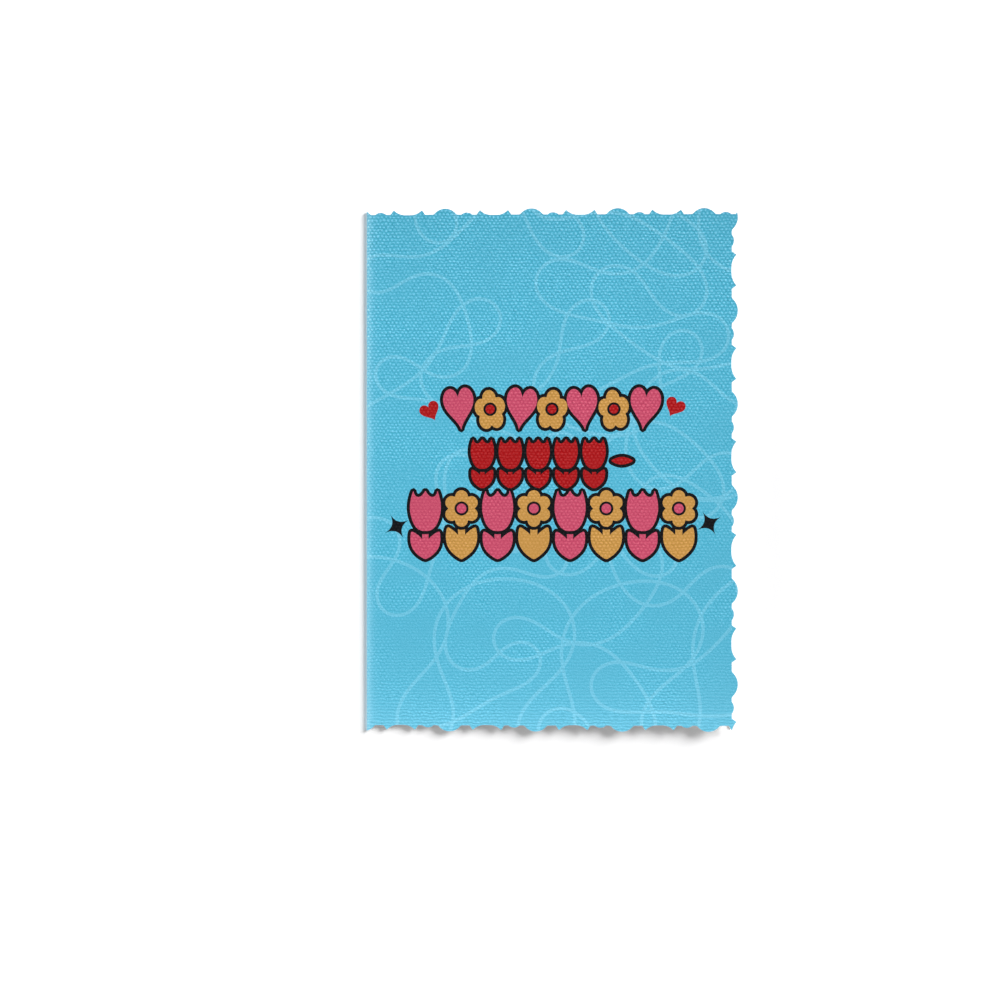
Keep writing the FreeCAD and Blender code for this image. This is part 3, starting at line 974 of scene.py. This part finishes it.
def threads(nodes, place, weave):
    """Checks of the upright and level threads, and rows of the level ones alone.

    With a and b the flat place over the two pitches, cos(pi a) cos(pi b) is 1 on the crown of a
    level thread and -1 on that of an upright one, and cos(2 pi b) parts the level threads.
    """
    stray = nodes.noise(place, "stray").outputs["Color"]
    centred = nodes.vector("SUBTRACT", stray, (MIDDLE,) * 3)
    amount = nodes.vector("MULTIPLY", centred, (2 * weave.wobble,) * 3)
    pitches = (UV_SPAN / weave.warp_pitch, UV_SPAN / weave.weft_pitch, 0.0)
    strayed = nodes.vector("ADD", nodes.vector("MULTIPLY", place, pitches), amount)
    across, up = nodes.parted(strayed)
    wave_across = nodes.maths("COSINE", nodes.maths("MULTIPLY", across, math.pi))
    wave_up = nodes.maths("COSINE", nodes.maths("MULTIPLY", up, math.pi))
    rows = nodes.maths("COSINE", nodes.maths("MULTIPLY", up, 2 * math.pi))
    return nodes.maths("MULTIPLY", wave_across, wave_up), rows


def canvas_group(weave):
    """The weave as a node group: height of the cloth, its crowns, and slow mottling.

    Noise drawn out along the rows stands for fibres, finer noise makes the crowns uneven. The
    relief is pressed less deep towards the foot and in patches, and only the level threads come
    back beside the foot.
    """
    tree = bpy.data.node_groups.new("Canvas weave", "ShaderNodeTree")
    for name in ("Height", "Crown", "Mottle"):
        tree.interface.new_socket(name=name, in_out="OUTPUT", socket_type="NodeSocketFloat")
    nodes = Nodes(tree)
    place = nodes.add("ShaderNodeUVMap", uv_map=UV_LAYER).outputs["UV"]
    checks, rows = threads(nodes, place, weave)
    uneven = nodes.noise(place, "uneven").outputs["Fac"]
    uneven = nodes.maths("MULTIPLY_ADD", uneven, weave.unevenness, 1 - weave.unevenness / 2)
    checks = nodes.maths("MULTIPLY", checks, nodes.maths("MAXIMUM", uneven, LEAST_DEPTH))
    mottle = nodes.noise(place, "mottle").outputs["Fac"]
    patches = nodes.maths("MULTIPLY_ADD", mottle, weave.patchiness, -weave.patchiness / 2)
    level = nodes.parted(place)[1]
    rise = (1 - weave.shallow) * UV_SPAN / CARD_HEIGHT
    depth = nodes.maths("MULTIPLY_ADD", level, rise, weave.shallow)
    depth = nodes.maths("MAXIMUM", nodes.maths("ADD", depth, patches), LEAST_DEPTH)
    near_foot = nodes.fade(level, weave.streak_reach)
    deep = nodes.maths("MULTIPLY", depth, DEEP_STREAKS)
    streaks = nodes.maths("MULTIPLY_ADD", near_foot, FOOT_STREAKS, deep)
    parts = {
        "checks": nodes.maths("MULTIPLY", checks, depth),
        "rows": nodes.maths("MULTIPLY", rows, streaks),
        "fibre": nodes.maths("MULTIPLY", nodes.centred(place, "fibre"), streaks),
        "grain": nodes.centred(place, "grain"),
    }
    out = [("Mottle", mottle)]
    for name, weights in (("Height", HEIGHT_PARTS), ("Crown", CROWN_PARTS)):
        total = MIDDLE
        for part, weight in weights.items():
            total = nodes.maths("MULTIPLY_ADD", parts[part], weight, total)
        out.append((name, total))
    nodes.add("NodeGroupOutput", [], out)
    return tree


def painted_light_and_wear(nodes, crown, places, wear_and_painted_light):
    """How the painted light and shade, with the fold's wear, scale the ink, and how much pale stock
    they bare.
    Places are the UV places of the fold and the foot.

    The ink is painted lighter along the fold, a painted highlight with some wear, by an exponential
    of the distance past the fold's bend, and along the foot, as painted light, by an exponential of
    the height above the cut. It is painted darker beside the head, as painted shade, by an
    exponential too, and towards the free side, by a fourth power of the distance from the fold.
    """
    across, up = nodes.parted(nodes.add("ShaderNodeUVMap", uv_map=UV_LAYER).outputs["UV"])
    off = nodes.maths("ABSOLUTE", nodes.maths("SUBTRACT", across, places[0]))
    past = nodes.maths("MAXIMUM", nodes.maths("SUBTRACT", off, wear_and_painted_light.fold_wear_and_highlight_band / UV_SPAN), 0.0)
    above = nodes.maths("MAXIMUM", nodes.maths("SUBTRACT", up, places[1]), 0.0)
    below = nodes.maths("SUBTRACT", CARD_HEIGHT / UV_SPAN, above)
    # Masks of the fold's painted highlight with some wear, the foot's painted light, and the
    # painted shade at the head and towards the free side
    fold = nodes.fade(past, wear_and_painted_light.fold_wear_and_highlight_reach)
    foot = nodes.fade(above, wear_and_painted_light.foot_painted_light_reach)
    head = nodes.fade(below, wear_and_painted_light.head_painted_shade_reach)
    side = nodes.maths("POWER", nodes.maths("MULTIPLY", off, UV_SPAN / CARD_WIDTH), 4.0)
    # The ink painted lighter along the fold and at the foot, and darker at the head and the free
    # side
    gain = nodes.maths("MULTIPLY_ADD", fold, wear_and_painted_light.fold_highlight_gain, 1.0)
    gain = nodes.maths("MULTIPLY_ADD", foot, wear_and_painted_light.foot_painted_light_gain, gain)
    gain = nodes.maths("MULTIPLY_ADD", head, -wear_and_painted_light.head_painted_shade, gain)
    gain = nodes.maths("MULTIPLY_ADD", side, -wear_and_painted_light.side_painted_shade, gain)
    # Pale stock mixed in along the fold, more on the crowns, as painted highlight with some wear,
    # and at the foot as painted light
    bare = nodes.maths("MULTIPLY_ADD", crown, 2 * wear_and_painted_light.fold_bare_and_highlight, wear_and_painted_light.fold_bare_and_highlight)
    bare = nodes.maths("MULTIPLY", fold, bare)
    return gain, nodes.maths("MULTIPLY_ADD", foot, wear_and_painted_light.foot_painted_whitening, bare)


def stock_material(name, colour, group, weave, thin=0.0, wear_and_painted_light=None, depth=1.0, roughness=0.75):
    """Ink, or bare stock, on the woven surface: painted lighter on the crowns and darker in the
    pits, a painted highlight and painted shade, and paler where a thin ink lets the pale stock show
    on the crowns. The argument for painted light and wear holds the places and the sizes that they
    take, or nothing."""
    material = bpy.data.materials.new(name)
    nodes = emptied(material)
    canvas = nodes.add("ShaderNodeGroup", node_tree=group)
    crown = canvas.outputs["Crown"]
    # Painted highlight on the crowns and painted shade in the pits, as a gain on the ink
    contrast, mottling = weave.contrast * depth, weave.mottling
    gain = nodes.maths("MULTIPLY_ADD", crown, contrast, 1 - contrast / 2)
    slow = nodes.maths("MULTIPLY_ADD", canvas.outputs["Mottle"], mottling, 1 - mottling / 2)
    gain = nodes.maths("MULTIPLY", gain, slow)
    show = weave.show_through * thin
    pale = nodes.maths("MULTIPLY_ADD", crown, show, -SHOWS_ABOVE * show)
    pale = nodes.maths("MAXIMUM", pale, 0.0)
    # Painted light and shade on the ground's ink, with the fold's wear
    if wear_and_painted_light:
        painted_light_and_wear_gain, bare = painted_light_and_wear(nodes, crown, *wear_and_painted_light)
        gain = nodes.maths("MULTIPLY", gain, painted_light_and_wear_gain)
        pale = nodes.maths("ADD", pale, bare)
    # Pale stock mixed in: show-through on the crowns, and the painted highlight along the fold and
    # painted light at the foot
    mix = nodes.add("ShaderNodeMix", [], [("Factor", pale)], data_type="RGBA")
    dyed, stock = [socket for socket in mix.inputs if socket.type == "RGBA"]
    stock.default_value = PALE_STOCK_AND_PAINTED_LIGHT
    nodes.tree.links.new(nodes.scaled(colour, gain), dyed)
    shade = [socket for socket in mix.outputs if socket.type == "RGBA"][0]
    relief = weave.relief * depth
    nodes.surface(shade, canvas.outputs["Height"], 1.0, relief, roughness, specular=0.08)
    return material


def core_material(colour):
    """Fibres of the stock where it is cut through."""
    material = bpy.data.materials.new("cut edge")
    nodes = emptied(material)
    place = nodes.add("ShaderNodeTexCoord").outputs["Object"]
    values = [("Scale", 1 / FIBRE_SIZE), ("Detail", 3.0)]
    fibre = nodes.add("ShaderNodeTexNoise", values, [("Vector", place)]).outputs["Fac"]
    shade = nodes.scaled(colour, nodes.maths("MULTIPLY_ADD", fibre, FIBRE_CONTRAST, FIBRE_TONE))
    nodes.surface(shade, fibre, 0.6, FIBRE_RELIEF, roughness=0.85, specular=0.2)
    return material


class CARD_OT_add_printed_card(bpy.types.Operator):
    """Adds the folded, printed sheet in place of the plain solid"""

    bl_idname = "folded_card.add_printed_card"
    bl_label = "Add printed card"

    def execute(self, context):
        settings = sizes()
        prints, weave = settings.print, settings.weave
        section = Section(settings.sheet)
        points, faces, materials, flat = sheet_arrays(settings)
        piece = add_sheet_mesh("printed_card", points, faces, materials, flat)
        group = canvas_group(weave)
        # The fold's and the foot's UV places, where the painted highlight along the fold and the
        # painted light at the foot are centred
        fold = section.start - section.fold_length / 2
        foot = CARD_LOW.y + settings.deckle.scallop_rise
        places = (np.array([fold, foot]) - flat.min(0)) / UV_SPAN
        for name in INKS:
            colour = tuple(getattr(prints, name))
            # Field and lines take the painted light and shade and the fold's wear; the other inks
            # take none
            wear_and_painted_light = (places, settings.wear_and_painted_light) if name in INKS_WITH_WEAR_AND_PAINTED_LIGHT else None
            piece.data.materials.append(
                stock_material(f"{name} print", colour, group, weave, THINNESS[name], wear_and_painted_light)
            )
        inside = tuple(prints.inside)
        piece.data.materials.append(
            stock_material("bare stock", inside, group, weave, depth=0.35, roughness=0.8)
        )
        piece.data.materials.append(core_material(inside))
        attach(piece, BODY)
        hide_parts(NODE)
        return {"FINISHED"}


def seen_directly(nodes):
    """1 for rays that show a surface to the camera, straight or in a reflection, else 0."""
    path = nodes.add("ShaderNodeLightPath")
    seen = nodes.maths("MAXIMUM", path.outputs["Is Camera Ray"], path.outputs["Is Glossy Ray"])
    return nodes.maths("MAXIMUM", seen, path.outputs["Is Transmission Ray"])


def floor_material(stage):
    """Near white, with a little light of its own towards the camera that grows outwards.

    So the shadow stays and the far floor runs into the white world.
    """
    material = bpy.data.materials.new("pale floor")
    nodes = emptied(material)
    matte = nodes.add("ShaderNodeBsdfDiffuse", [("Color", FLOOR_COLOUR)])
    lift = nodes.add("ShaderNodeEmission", [("Color", WHITE)])
    place = nodes.add("ShaderNodeTexCoord").outputs["Object"]
    reach = nodes.add("ShaderNodeVectorMath", [], [(0, place)], operation="LENGTH").outputs["Value"]
    values = [("From Min", stage.glow_from), ("From Max", stage.glow_to)]
    values += [("To Min", stage.glow_near), ("To Max", 1.0)]
    glow = nodes.add("ShaderNodeMapRange", values, [("Value", reach)]).outputs["Result"]
    strength = nodes.maths("MULTIPLY", seen_directly(nodes), glow)
    nodes.tree.links.new(strength, lift.inputs["Strength"])
    both = nodes.add("ShaderNodeAddShader", [], [(0, matte.outputs[0]), (1, lift.outputs[0])])
    nodes.add("ShaderNodeOutputMaterial", [], [("Surface", both.outputs[0])])
    return material


def studio_world(strength):
    """Plain pale light from all round, shown to the camera as white."""
    world = bpy.data.worlds.new("studio")
    nodes = emptied(world)
    light = nodes.add("ShaderNodeBackground", [("Color", WHITE), ("Strength", strength)])
    white = nodes.add("ShaderNodeBackground", [("Color", WHITE), ("Strength", 1.0)])
    links = [(0, seen_directly(nodes)), (1, light.outputs[0]), (2, white.outputs[0])]
    mix = nodes.add("ShaderNodeMixShader", [], links)
    nodes.add("ShaderNodeOutputWorld", [], [("Surface", mix.outputs[0])])
    return world


def add_lamp(name, place, width, depth, power):
    """A soft rectangular lamp that faces the card."""
    data = bpy.data.lights.new(name, "AREA")
    data.shape = "RECTANGLE"
    data.size = width
    data.size_y = depth
    data.energy = power
    lamp = bpy.data.objects.new(name, data)
    bpy.context.collection.objects.link(lamp)
    lamp.location = place
    lamp.rotation_euler = (-Vector(place)).to_track_quat("-Z", "Y").to_euler()


class CARD_OT_add_stage(bpy.types.Operator):
    """Adds the pale floor, the soft lamps and the camera that looks straight down"""

    bl_idname = "folded_card.add_stage"
    bl_label = "Add stage"

    def execute(self, context):
        stage = sizes().stage
        half = stage.floor_size / 2
        corners = [(-half, -half, 0), (half, -half, 0), (half, half, 0), (-half, half, 0)]
        mesh = bpy.data.meshes.new("floor")
        mesh.from_pydata(corners, [], [(0, 1, 2, 3)])
        mesh.materials.append(floor_material(stage))
        floor = bpy.data.objects.new("floor", mesh)
        context.collection.objects.link(floor)

        for name, lamp in LAMPS.items():
            add_lamp(name, *lamp)
        context.scene.world = studio_world(stage.ambient)

        distance = stage.frame_width * stage.lens / stage.sensor
        data = bpy.data.cameras.new("camera")
        data.lens = stage.lens
        data.sensor_width = stage.sensor
        data.clip_start = 0.01
        camera = bpy.data.objects.new("camera", data)
        camera.location = (stage.centre_x, stage.centre_y, CARD_HIGH.z + distance)
        context.collection.objects.link(camera)
        context.scene.camera = camera
        context.scene.view_settings.view_transform = "Standard"
        return {"FINISHED"}


class CARD_PT_sidebar(bpy.types.Panel):
    """Lists the card's operators and sizes"""

    bl_idname = "CARD_PT_sidebar"
    bl_label = "Folded card"
    bl_space_type = "VIEW_3D"
    bl_region_type = "UI"
    bl_category = "Card"

    def draw(self, context):
        layout = self.layout
        layout.operator(CARD_OT_add_printed_card.bl_idname)
        layout.operator(CARD_OT_add_stage.bl_idname)
        for group in context.scene.folded_card.__annotations__:
            box = layout.box()
            box.label(text=group.capitalize())
            values = getattr(context.scene.folded_card, group)
            for name in values.__annotations__:
                box.prop(values, name)


CLASSES = (
    CardSheetSizes,
    CardDeckleSizes,
    CardPrintSizes,
    CardWeaveSizes,
    CardWearAndPaintedLightSizes,
    CardStageSizes,
    CardSizes,
    CARD_OT_add_printed_card,
    CARD_OT_add_stage,
    CARD_PT_sidebar,
)


def register():
    """Registers the classes and hangs the sizes on the scene."""
    for kind in CLASSES:
        bpy.utils.register_class(kind)
    bpy.types.Scene.folded_card = bpy.props.PointerProperty(type=CardSizes)


def unregister():
    """Undoes register."""
    del bpy.types.Scene.folded_card
    for kind in reversed(CLASSES):
        bpy.utils.unregister_class(kind)


def main():
    """Registers the classes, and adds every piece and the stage."""
    register()
    bpy.ops.folded_card.add_printed_card()
    bpy.ops.folded_card.add_stage()


if __name__ == "__main__":
    main()
